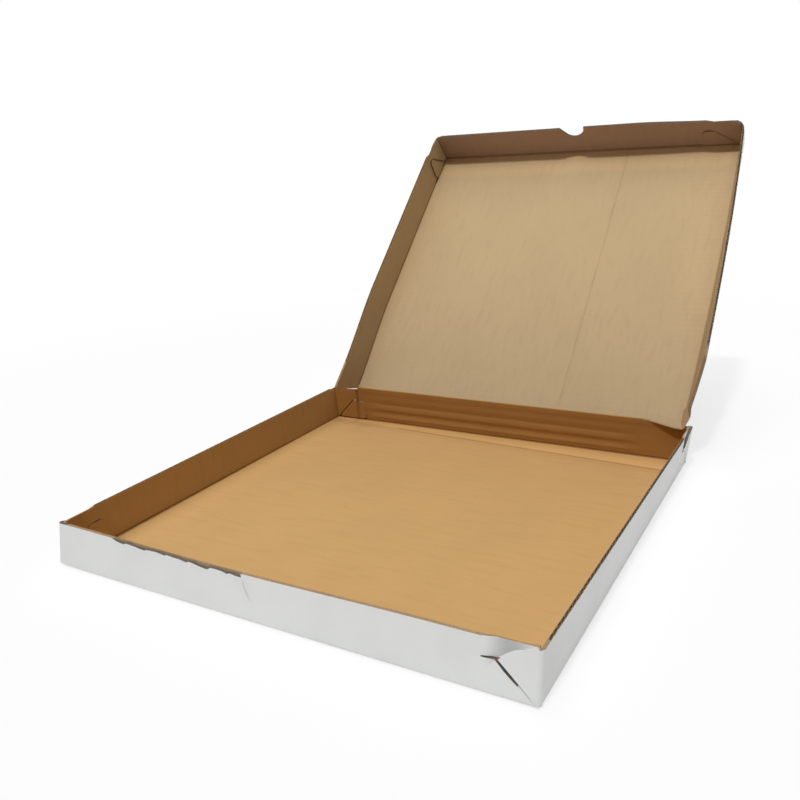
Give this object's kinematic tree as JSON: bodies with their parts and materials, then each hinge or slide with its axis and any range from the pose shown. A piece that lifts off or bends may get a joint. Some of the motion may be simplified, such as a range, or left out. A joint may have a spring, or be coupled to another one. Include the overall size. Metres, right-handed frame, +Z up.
{
  "type": "flat cardboard food box",
  "caption": "Shallow square food box of folded corrugated board, with corner tabs hooked through slits and a hinged lid that closes inside the tray's walls.",
  "frame": {"origin": "centre of the tray's flat underside", "axes": "+X to the right seen from the front, +Y to the rear where the lid hinges, +Z up"},
  "size_m": [0.4, 0.6311, 0.3051],
  "materials": {
    "tray_board": "brown kraft liner inside, white liner outside, matte",
    "lid_board": "brown kraft liner inside, white liner outside, matte"
  },
  "bodies": {
    "tray": {"base_tray": "tray_board"},
    "lid": {"lid": "lid_board"}
  },
  "joints": [
    {"name": "lid_hinge", "type": "hinge", "parent": "tray", "child": "lid", "pos_m": [0, 0.1828, 0.0396], "axis": [-1, 0, 0], "range_deg": [-138, 42]}
  ]
}
